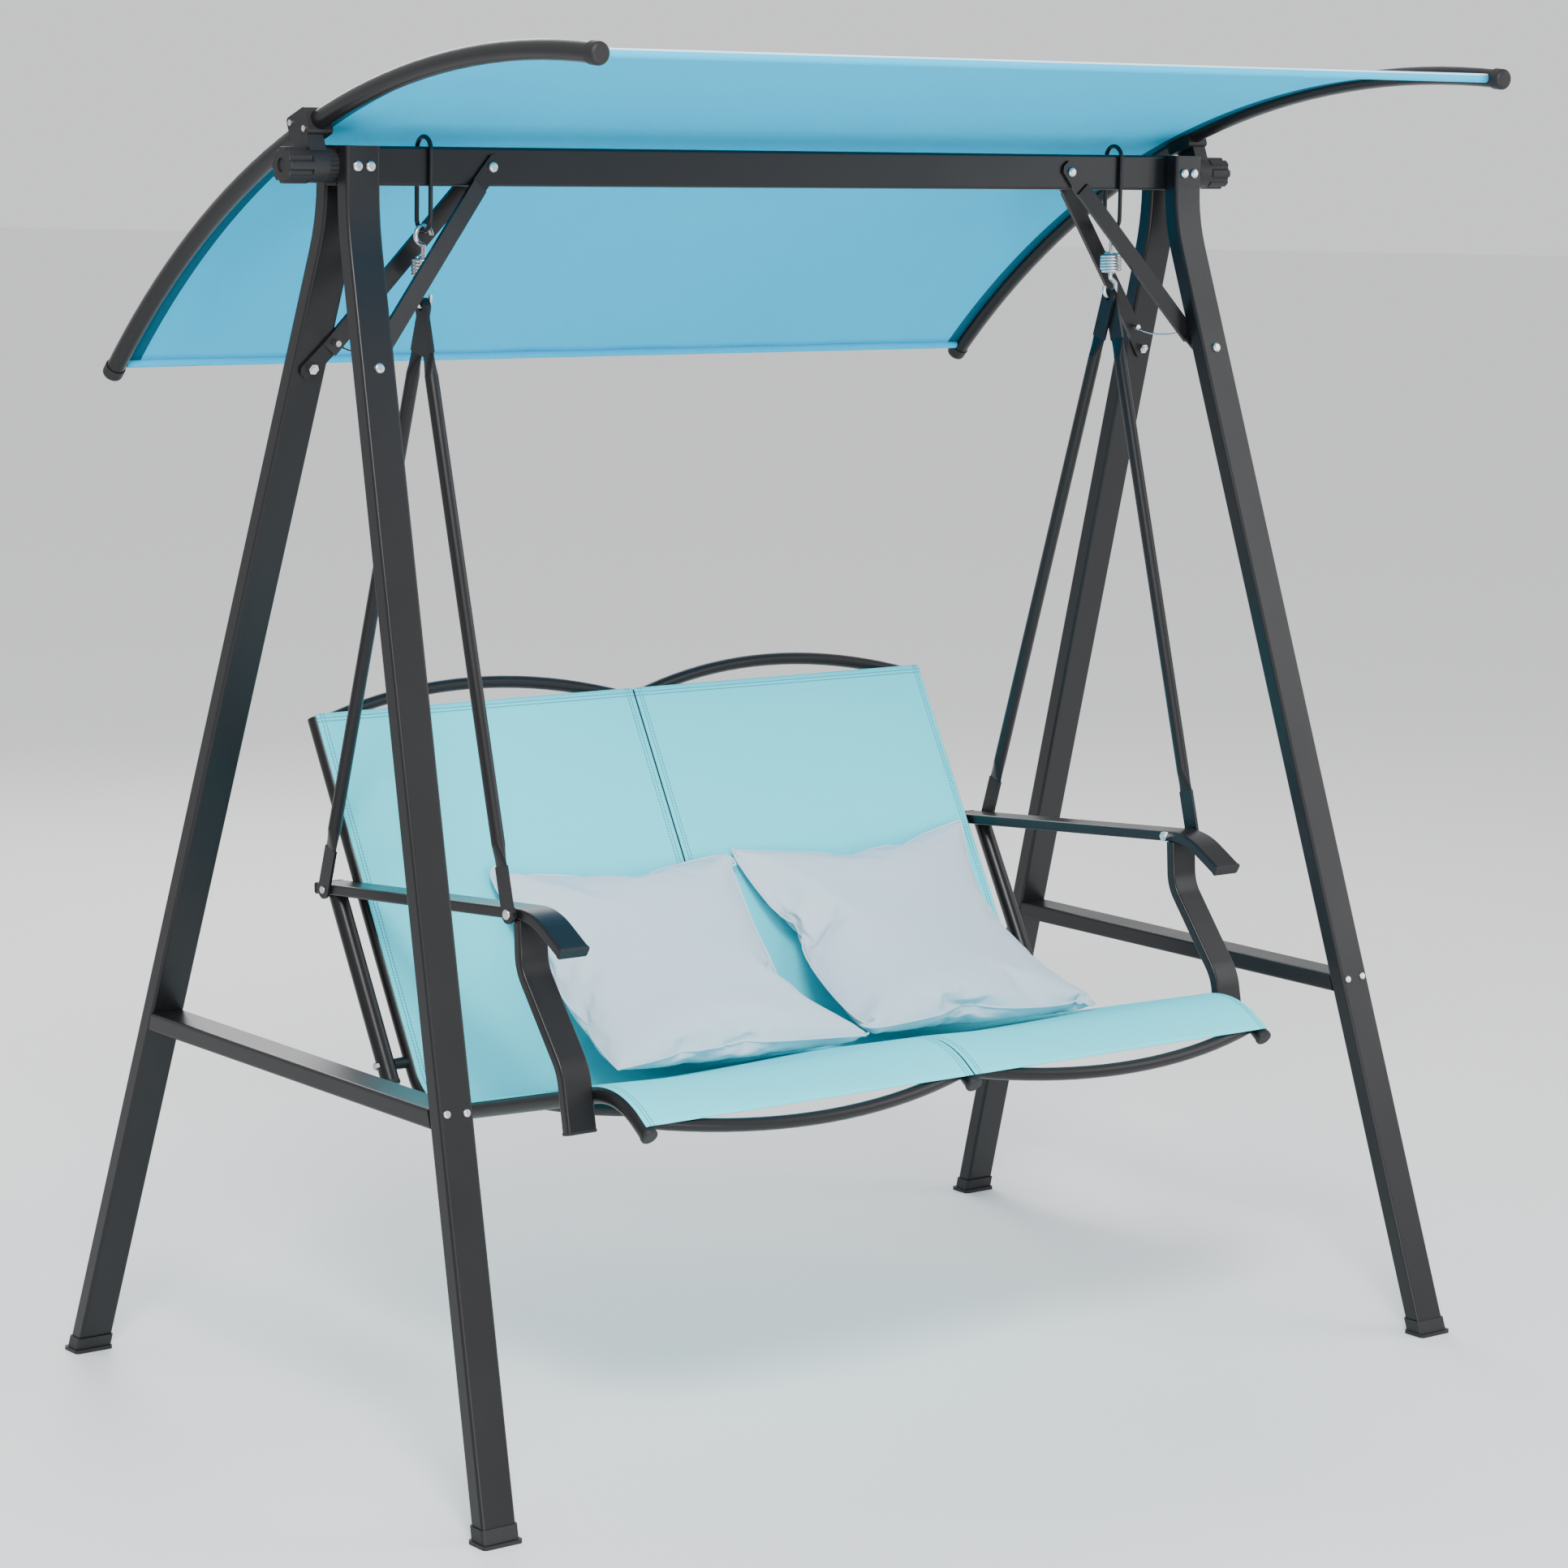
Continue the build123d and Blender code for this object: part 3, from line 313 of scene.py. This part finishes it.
# Cloth coloured as painted shade, for the band beside each canopy side tube.
TUBE_SHADE_BAND = cloth("tube_shade_band", TUBE_SHADE_TEAL, TUBE_SHADE_TEAL, CANOPY_THREADS).material
# White cloth for the strip of painted highlight on the canopy's front hem.
HEM_HIGHLIGHT = cloth("hem_highlight", HIGHLIGHT_WHITE, HIGHLIGHT_WHITE, CANOPY_THREADS).material

for row in frame["record"]["subparts"]:
    node = frame["nodes"][row["node"]]
    node.data.materials.clear()
    node.data.materials.append(MATERIALS[row["material_slot"]])


def floor_material():
    paint = Paint("pale_floor", (0.88, 0.88, 0.88), roughness=0.6)
    paint.drive("Roughness", paint.spread(paint.noise(scale=3.0), low=0.5, high=0.7))
    return paint.material


bpy.ops.mesh.primitive_plane_add(size=FLOOR_SIZE, location=(0, 0, cad_low[2]))
floor = bpy.context.object
floor.name = "floor"
floor.data.materials.append(floor_material())

# ---------------------------------------------------------------- mesh helpers

# A direction that no tube starts along.
ASKEW = (0.3, 0.9, 0.2)


def link(name, mesh, *materials):
    """Object of the given mesh, smooth, with its materials, in the scene."""
    for material in materials:
        mesh.materials.append(material)
    mesh.polygons.foreach_set("use_smooth", [True] * len(mesh.polygons))
    obj = bpy.data.objects.new(name, mesh)
    bpy.context.scene.collection.objects.link(obj)
    return obj


def sheet_mesh(name, points, flat, thickness, pick=None):
    """Closed thin sheet from a grid of points, with its flat coordinates as UVs.

    pick(u, v) gives the material index of a face from its flat coordinates."""
    rows, columns = points.shape[:2]
    along = np.gradient(points, axis=0)
    across = np.gradient(points, axis=1)
    normals = np.cross(along, across)
    normals /= np.linalg.norm(normals, axis=2, keepdims=True)
    layers = [points + normals * thickness / 2, points - normals * thickness / 2]
    vertices = np.concatenate([layer.reshape(-1, 3) for layer in layers])
    count = rows * columns
    faces = []
    for i in range(rows - 1):
        for j in range(columns - 1):
            a = i * columns + j
            quad = (a, a + 1, a + columns + 1, a + columns)
            faces.append(quad)
            faces.append(tuple(count + k for k in reversed(quad)))
    rim = list(range(columns))
    rim += [i * columns + columns - 1 for i in range(1, rows)]
    rim += [(rows - 1) * columns + j for j in range(columns - 2, -1, -1)]
    rim += [i * columns for i in range(rows - 2, 0, -1)]
    for a, b in zip(rim, rim[1:] + rim[:1]):
        faces.append((b, a, a + count, b + count))
    mesh = bpy.data.meshes.new(name)
    mesh.from_pydata([tuple(v) for v in vertices], [], faces)
    layer = mesh.uv_layers.new(name="flat")
    uvs = np.concatenate([flat.reshape(-1, 2)] * 2)
    corners = np.zeros(len(mesh.loops), int)
    mesh.loops.foreach_get("vertex_index", corners)
    layer.data.foreach_set("uv", uvs[corners].ravel())
    if pick:
        for polygon in mesh.polygons:
            middle = uvs[list(polygon.vertices)].mean(0)
            polygon.material_index = pick(*middle)
    mesh.update()
    return mesh


def tube_mesh(name, path, radius, around):
    """Closed round tube along a list of points, with that many corners around."""
    path = np.asarray(path, float)
    tangents = np.gradient(path, axis=0)
    tangents /= np.linalg.norm(tangents, axis=1, keepdims=True)
    side = np.cross(tangents[0], ASKEW)
    vertices = []
    for point, tangent in zip(path, tangents):
        side = side - tangent * side.dot(tangent)
        side /= np.linalg.norm(side)
        other = np.cross(tangent, side)
        for k in range(around):
            angle = 2 * math.pi * k / around
            vertices.append(point + radius * (math.cos(angle) * side + math.sin(angle) * other))
    faces = []
    for i in range(len(path) - 1):
        for k in range(around):
            a = i * around + k
            b = i * around + (k + 1) % around
            faces.append((a, b, b + around, a + around))
    faces.append(tuple(reversed(range(around))))
    faces.append(tuple((len(path) - 1) * around + k for k in range(around)))
    mesh = bpy.data.meshes.new(name)
    mesh.from_pydata([tuple(v) for v in vertices], [], faces)
    mesh.update()
    return mesh


# ---------------------------------------------------------------- canopy

ARC_CENTRE_Y = BEAM_Y - 0.487
ARC_CENTRE_Z = 0.383
ARC_RADIUS = 1.405
ARC_START = math.radians(-3.72)
ARC_END = math.radians(45.22)
CANOPY_HALF = 0.7370
TUBE_SHADE_WIDE = 0.024
CANOPY_SAG = 0.004
CANOPY_THICK = 0.0012
CANOPY_ROWS = 90
CANOPY_COLUMNS = 148
RIPPLE_HIGH = 0.0006
RIPPLE_ACROSS = 31
RIPPLE_ALONG = 5


def arc(angle, radius=ARC_RADIUS):
    return ARC_CENTRE_Y + radius * math.sin(angle), ARC_CENTRE_Z + radius * math.cos(angle)


def make_canopy():
    """One stretched panel, with a band of painted shade along each side tube."""
    angles = np.linspace(ARC_START, ARC_END, CANOPY_ROWS)
    places = np.linspace(-CANOPY_HALF, CANOPY_HALF, CANOPY_COLUMNS)
    points = np.zeros((CANOPY_ROWS, CANOPY_COLUMNS, 3))
    flat = np.zeros((CANOPY_ROWS, CANOPY_COLUMNS, 2))
    for i, angle in enumerate(angles):
        for j, x in enumerate(places):
            edge = math.cos(x / CANOPY_HALF * math.pi / 2)
            end = math.sin(math.pi * i / (CANOPY_ROWS - 1))
            wave = math.sin(x * RIPPLE_ACROSS + RIPPLE_ALONG * angle)
            ripple = RIPPLE_HIGH * wave * (1 - end) * edge
            y, z = arc(angle, ARC_RADIUS - CANOPY_SAG * edge * end + ripple)
            points[i, j] = (x, y, z)
            flat[i, j] = (x + CANOPY_HALF, (angle - ARC_START) * ARC_RADIUS)

    # Faces within the band next to each side tube get the painted tube shade.
    def pick(u, v):
        return 1 if min(u, 2 * CANOPY_HALF - u) < TUBE_SHADE_WIDE else 0

    mesh = sheet_mesh("canopy_panel", points, flat, CANOPY_THICK, pick)
    return link("canopy_panel", mesh, MATERIALS["canopy_cloth"], TUBE_SHADE_BAND)


canopy = make_canopy()
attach(canopy, "canopy")
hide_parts("canopy_fabric")

HEM_RADIUS = 0.0062
HEM_REACH = 0.0055
HEM_SHORT = 0.0006
HEM_STEPS = 80
HEM_SIDES = 18
# Size of the white strip of painted highlight on the front hem.
HIGHLIGHT_RADIUS = 0.0013
HIGHLIGHT_SHORT = 0.002
HIGHLIGHT_SIDES = 8
HEM_CENTRES = (ARC_START - HEM_REACH / ARC_RADIUS, ARC_END + HEM_REACH / ARC_RADIUS)


def make_hem(name, angle, material):
    """Sleeve of cloth sewn round a hem rod."""
    y, z = arc(angle)
    half = CANOPY_HALF - HEM_SHORT
    path = [(x, y, z) for x in np.linspace(-half, half, HEM_STEPS)]
    mesh = tube_mesh(name, path, HEM_RADIUS, HEM_SIDES)
    layer = mesh.uv_layers.new(name="flat")
    for loop in mesh.loops:
        place = mesh.vertices[loop.vertex_index].co
        layer.data[loop.index].uv = (place.x, place.z + place.y)
    return link(name, mesh, material)


def make_hem_highlight():
    """Painted highlight: a thin white strip along the front edge of the front hem."""
    y, z = arc(HEM_CENTRES[0])
    reach = HEM_RADIUS * math.sin(math.pi / 4)
    half = CANOPY_HALF - HIGHLIGHT_SHORT
    path = [(x, y - reach, z + reach) for x in np.linspace(-half, half, HEM_STEPS)]
    mesh = tube_mesh("front_hem_highlight", path, HIGHLIGHT_RADIUS, HIGHLIGHT_SIDES)
    return link("front_hem_highlight", mesh, HEM_HIGHLIGHT)


hems = [
    make_hem("front_hem_sleeve", HEM_CENTRES[0], MATERIALS["canopy_cloth"]),
    make_hem("back_hem_sleeve", HEM_CENTRES[1], MATERIALS["canopy_cloth"]),
    make_hem_highlight(),
]
for hem in hems:
    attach(hem, "canopy")

# ---------------------------------------------------------------- sling panels

RAIL_X = 0.5324
RAIL_RADIUS = 0.011
REST = 0.0119
CORNER = (BEAM_Y + 0.072, 0.381)
RECLINE = math.radians(29.5)
SEAT_RISE = math.radians(14.95)
NOSE_DROP = math.radians(35.0)
BACK_LONG = 0.582
SEAT_LONG = 0.455
NOSE_LONG = 0.071
BACK_WAY = (math.sin(RECLINE), math.cos(RECLINE))
SEAT_WAY = (-math.cos(SEAT_RISE), math.sin(SEAT_RISE))
NOSE_WAY = (-math.cos(NOSE_DROP), -math.sin(NOSE_DROP))
CORNER_BEND = 0.080
NOSE_BEND = 0.110
SEAM_HALF = 0.0015
SLING_EDGE = 0.005
SLING_SAG = 0.007
SLING_THICK = 0.0010
SLING_STEP = 0.008
TOP_EASE = 0.10
TIP_EASE = 0.06
BEND_STEPS = 40
RAIL_CREST = 0.004
RAIL_SLOPE = 0.0065
INNER_FINE = 0.03
OUTER_FINE = 0.5


def bent(points, radii, step):
    """Evenly spaced points, and their left-hand normals, along a line with rounded corners."""
    points = [np.array(p) for p in points]
    dense = [points[0]]
    for before, here, after, radius in zip(points, points[1:], points[2:], radii):
        into = (here - before) / np.linalg.norm(here - before)
        out = (after - here) / np.linalg.norm(after - here)
        turn = math.acos(float(np.clip(into.dot(out), -1, 1)))
        back_off = radius * math.tan(turn / 2)
        way = math.copysign(1, into[0] * out[1] - into[1] * out[0])
        centre = here - into * back_off + way * radius * np.array((-into[1], into[0]))
        start = here - into * back_off - centre
        for k in range(BEND_STEPS + 1):
            angle = way * turn * k / BEND_STEPS
            c, s = math.cos(angle), math.sin(angle)
            spoke = np.array((c * start[0] - s * start[1], s * start[0] + c * start[1]))
            dense.append(centre + spoke)
    dense.append(points[-1])
    dense = np.array(dense)
    lengths = np.r_[0, np.cumsum(np.linalg.norm(np.diff(dense, axis=0), axis=1))]
    count = int(round(lengths[-1] / step)) + 1
    even = np.linspace(0, lengths[-1], count)
    line = np.stack([np.interp(even, lengths, dense[:, k]) for k in (0, 1)], 1)
    heading = np.gradient(line, axis=0)
    heading /= np.linalg.norm(heading, axis=1, keepdims=True)
    return line, np.stack([-heading[:, 1], heading[:, 0]], 1), even


def rail_line():
    """Centre line of the rails in Y and Z, from the back's top to the seat's front."""
    top = (CORNER[0] + BACK_LONG * BACK_WAY[0], CORNER[1] + BACK_LONG * BACK_WAY[1])
    nose = (CORNER[0] + SEAT_LONG * SEAT_WAY[0], CORNER[1] + SEAT_LONG * SEAT_WAY[1])
    tip = (nose[0] + NOSE_LONG * NOSE_WAY[0], nose[1] + NOSE_LONG * NOSE_WAY[1])
    return bent((top, CORNER, nose, tip), (CORNER_BEND, NOSE_BEND), SLING_STEP)


def lift(x):
    """How far the cloth lies in front of the rail line, as it bends over the nearest rail."""
    off = min(abs(x), abs(x - RAIL_X))
    if x > RAIL_X or off < RAIL_CREST:
        return math.sqrt(REST * REST - min(off, RAIL_SLOPE) ** 2)
    return REST


def make_sling(name, side):
    """One panel from the top of the back to the front of the seat."""
    line, normal, length = rail_line()
    inner, outer = SEAM_HALF, RAIL_X + SLING_EDGE
    near = np.linspace(inner, INNER_FINE, 8)
    middle = np.linspace(INNER_FINE, OUTER_FINE, 48)
    far = np.linspace(OUTER_FINE, outer, 16)
    places = np.unique(np.r_[near, middle, far])
    points = np.zeros((len(line), len(places), 3))
    flat = np.zeros((len(line), len(places), 2))
    for i, (centre, facing) in enumerate(zip(line, normal)):
        end = min(1.0, length[i] / TOP_EASE, (length[-1] - length[i]) / TIP_EASE)
        ease = end * end * (3 - 2 * end)
        for j, x in enumerate(places):
            t = min(max((x - RAIL_RADIUS) / (RAIL_X - 2 * RAIL_RADIUS), 0), 1)
            sag = SLING_SAG * math.sin(math.pi * t) * ease
            y, z = centre - facing * (lift(x) - sag)
            points[i, j] = (side * x, y, z)
            flat[i, j] = (outer - x, length[i])
    if side < 0:
        points = points[:, ::-1]
        flat = flat[:, ::-1]
    return link(name, sheet_mesh(name, points, flat, SLING_THICK), MATERIALS["sling_cloth"])


for word, side in (("left", -1), ("right", 1)):
    panel = make_sling(f"{word}_sling_panel", side)
    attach(panel, "chair")
    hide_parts(f"{word}_back_sling", f"{word}_seat_sling")
    sling_long = rail_line()[2][-1]

# ---------------------------------------------------------------- springs

HANG_X = 0.593
COIL_TOP = 1.5318
COIL_LOW = 1.4995
COIL_RADIUS = 0.0132
COIL_NECK = 0.0068
COIL_WIRE = 0.0026
COIL_SIDES = 12
COIL_TURNS = 6.5
COIL_EASE = 0.9
STEPS_A_TURN = 40


def coil_path(x):
    """Helix whose end turns narrow onto the hooks' buttons."""
    points = []
    steps = int(COIL_TURNS * STEPS_A_TURN)
    for k in range(steps + 1):
        t = k / steps
        turns = t * COIL_TURNS
        ease = min(1.0, turns / COIL_EASE, (COIL_TURNS - turns) / COIL_EASE)
        radius = COIL_NECK + (COIL_RADIUS - COIL_NECK) * math.sin(ease * math.pi / 2)
        angle = 2 * math.pi * turns
        z = COIL_LOW + COIL_WIRE + (COIL_TOP - COIL_LOW - 2 * COIL_WIRE) * t
        points.append((x + radius * math.cos(angle), BEAM_Y + radius * math.sin(angle), z))
    return points


for word, side in (("left", -1), ("right", 1)):
    name = f"{word}_coil"
    middle = side * HANG_X
    mesh = tube_mesh(name, coil_path(middle), COIL_WIRE, COIL_SIDES)
    coil = link(name, mesh, MATERIALS["bright_steel"])
    top, foot = (middle, BEAM_Y, COIL_TOP), (middle, BEAM_Y, COIL_LOW)
    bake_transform(coil)
    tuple(top)
    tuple(foot)
    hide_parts(f"{word}_spring")

# ---------------------------------------------------------------- pillows

PILLOW_SIDE = 0.450
PILLOW_GRID = 56
PILLOW_TARGET = 0.432
PILLOW_THICK = 0.108
PILLOW_FRAMES = 20
PILLOW_CENTRES = {"left": -0.138, "right": 0.294}
PILLOW_TWIST = math.radians(-2.0)
PILLOW_BEND = 0.045
PILLOW_LIFT = 0.006
PILLOW_SHIFT = -0.006
PILLOW_CLEAR = 0.0014
PILLOW_REST = 0.0177
PILLOW_PRESSURE = 3.6
ALONG_SEAT = 0.222
UP_BACK = 0.326
CASE_GAP = 0.006
CASE_JITTER = 0.0004
PIPING_RADIUS = 0.0016
PIPING_SIDES = 8


def empty_case(name):
    """Two square layers of cloth joined round their edges, with a little air between them."""
    n = PILLOW_GRID
    index = {}
    vertices = []
    for side in (1, -1):
        for i in range(n + 1):
            for j in range(n + 1):
                rim = i in (0, n) or j in (0, n)
                key = (i, j, 0 if rim else side)
                if key in index:
                    continue
                index[key] = len(vertices)
                u, v = i / n * 2 - 1, j / n * 2 - 1
                gap = CASE_GAP * (1 - u * u) * (1 - v * v)
                jitter = CASE_JITTER * random.uniform(-1, 1)
                vertices.append((u * PILLOW_SIDE / 2, v * PILLOW_SIDE / 2, side * gap + jitter))
    faces = []
    for side in (1, -1):
        for i in range(n):
            for j in range(n):
                quad = []
                for a, b in ((i, j), (i + 1, j), (i + 1, j + 1), (i, j + 1)):
                    rim = a in (0, n) or b in (0, n)
                    quad.append(index[(a, b, 0 if rim else side)])
                faces.append(tuple(quad if side > 0 else reversed(quad)))
    mesh = bpy.data.meshes.new(name)
    mesh.from_pydata(vertices, [], faces)
    mesh.update()
    return mesh


def blow_up(obj):
    """Fill the case with pressure and keep the shape it takes."""
    cloth_modifier = obj.modifiers.new("fill", "CLOTH")
    settings = cloth_modifier.settings
    settings.use_pressure = True
    settings.uniform_pressure_force = PILLOW_PRESSURE
    settings.tension_stiffness = 30
    settings.compression_stiffness = 20
    settings.shear_stiffness = 12
    settings.bending_stiffness = 0.6
    settings.mass = 0.3
    settings.effector_weights.gravity = 0
    cloth_modifier.collision_settings.use_collision = False
    scene = bpy.context.scene
    for step in range(1, PILLOW_FRAMES + 1):
        scene.frame_set(step)
    graph = bpy.context.evaluated_depsgraph_get()
    shape = bpy.data.meshes.new_from_object(obj.evaluated_get(graph))
    obj.modifiers.clear()
    scene.frame_set(1)
    return shape


def pillow_shape():
    """One filled pillow, flat at the origin, scaled to its size."""
    mesh = empty_case("pillow_case")
    case = link("pillow_case", mesh)
    shape = blow_up(case)
    bpy.data.objects.remove(case)
    points = np.zeros(len(shape.vertices) * 3)
    shape.vertices.foreach_get("co", points)
    points = points.reshape(-1, 3)
    points -= (points.max(0) + points.min(0)) / 2
    size = points.max(0) - points.min(0)
    points *= (PILLOW_TARGET / size[0], PILLOW_TARGET / size[1], PILLOW_THICK / size[2])
    shape.vertices.foreach_set("co", points.ravel())
    layer = shape.uv_layers.new(name="flat")
    for loop in shape.loops:
        place = shape.vertices[loop.vertex_index].co
        layer.data[loop.index].uv = (place.x, place.y)
    shape.update()
    return shape


def on_seat(along):
    """Y and Z of a point above the seat's cloth, at a distance from the corner."""
    y = CORNER[0] + along * SEAT_WAY[0] + PILLOW_REST * SEAT_WAY[1]
    z = CORNER[1] + along * SEAT_WAY[1] - PILLOW_REST * SEAT_WAY[0]
    return y, z


def on_back(along):
    """Y and Z of a point in front of the back's cloth, at a distance from the corner."""
    y = CORNER[0] + along * BACK_WAY[0] - PILLOW_REST * BACK_WAY[1]
    z = CORNER[1] + along * BACK_WAY[1] + PILLOW_REST * BACK_WAY[0]
    return y, z


def pillow_place(x):
    """Transform that leans a pillow from the seat against the back."""
    low = Vector((x + PILLOW_SHIFT, *on_seat(ALONG_SEAT)))
    high = Vector((x + PILLOW_SHIFT, *on_back(UP_BACK)))
    up = (high - low).normalized()
    out = Vector((1, 0, 0)).cross(up)
    turn = Matrix(((1, 0, 0), up, out)).transposed().to_4x4()
    middle = (low + high) / 2 + out * PILLOW_LIFT
    return Matrix.Translation(middle) @ turn @ Matrix.Rotation(PILLOW_TWIST, 4, "Z")


def slump(mesh):
    """Bend the flat case so that its middle sinks towards the seat's corner."""
    half = PILLOW_TARGET / 2
    radius = half * half / (2 * PILLOW_BEND)
    for vertex in mesh.vertices:
        angle = vertex.co.y / radius
        reach = radius - vertex.co.z
        vertex.co.y = reach * math.sin(angle)
        vertex.co.z = radius - PILLOW_BEND - reach * math.cos(angle)


def settle(mesh):
    """Flatten the case where it rests, so that no point lies behind the sling."""
    line, facing, _ = rail_line()
    for vertex in mesh.vertices:
        spot = np.array((vertex.co.y, vertex.co.z))
        nearest = int(np.argmin(((line - spot) ** 2).sum(1)))
        off = -(spot - line[nearest]).dot(facing[nearest])
        short = REST + PILLOW_CLEAR - off
        if short > 0:
            vertex.co.y -= short * facing[nearest][0]
            vertex.co.z -= short * facing[nearest][1]


def edge_path(mesh):
    """Ordered points of the seam between the two layers."""
    n = PILLOW_GRID
    rim = [(0, j) for j in range(n)] + [(i, n) for i in range(n)]
    rim += [(n, j) for j in range(n, 0, -1)] + [(i, 0) for i in range(n, 0, -1)]
    return [mesh.vertices[i * (n + 1) + j].co.copy() for i, j in rim]


shape = pillow_shape()
for number, (word, x) in enumerate(PILLOW_CENTRES.items()):
    mesh = shape.copy()
    mesh.transform(Matrix.Rotation(math.pi * number, 4, "Z"))
    slump(mesh)
    mesh.transform(pillow_place(x))
    settle(mesh)
    pillow = link(f"{word}_pillow_case", mesh, MATERIALS["pillow_cloth"])
    smooth = pillow.modifiers.new("smooth", "SUBSURF")
    smooth.levels = 1
    smooth.render_levels = 1
    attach(pillow, "chair")
    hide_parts(f"{word}_pillow")
    ring = edge_path(mesh)
    ring.append(ring[0])
    name = f"{word}_pillow_seam"
    seam = tube_mesh(name, ring, PIPING_RADIUS, PIPING_SIDES)
    piping = link(name, seam, MATERIALS["pillow_cloth"])
    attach(piping, "chair")
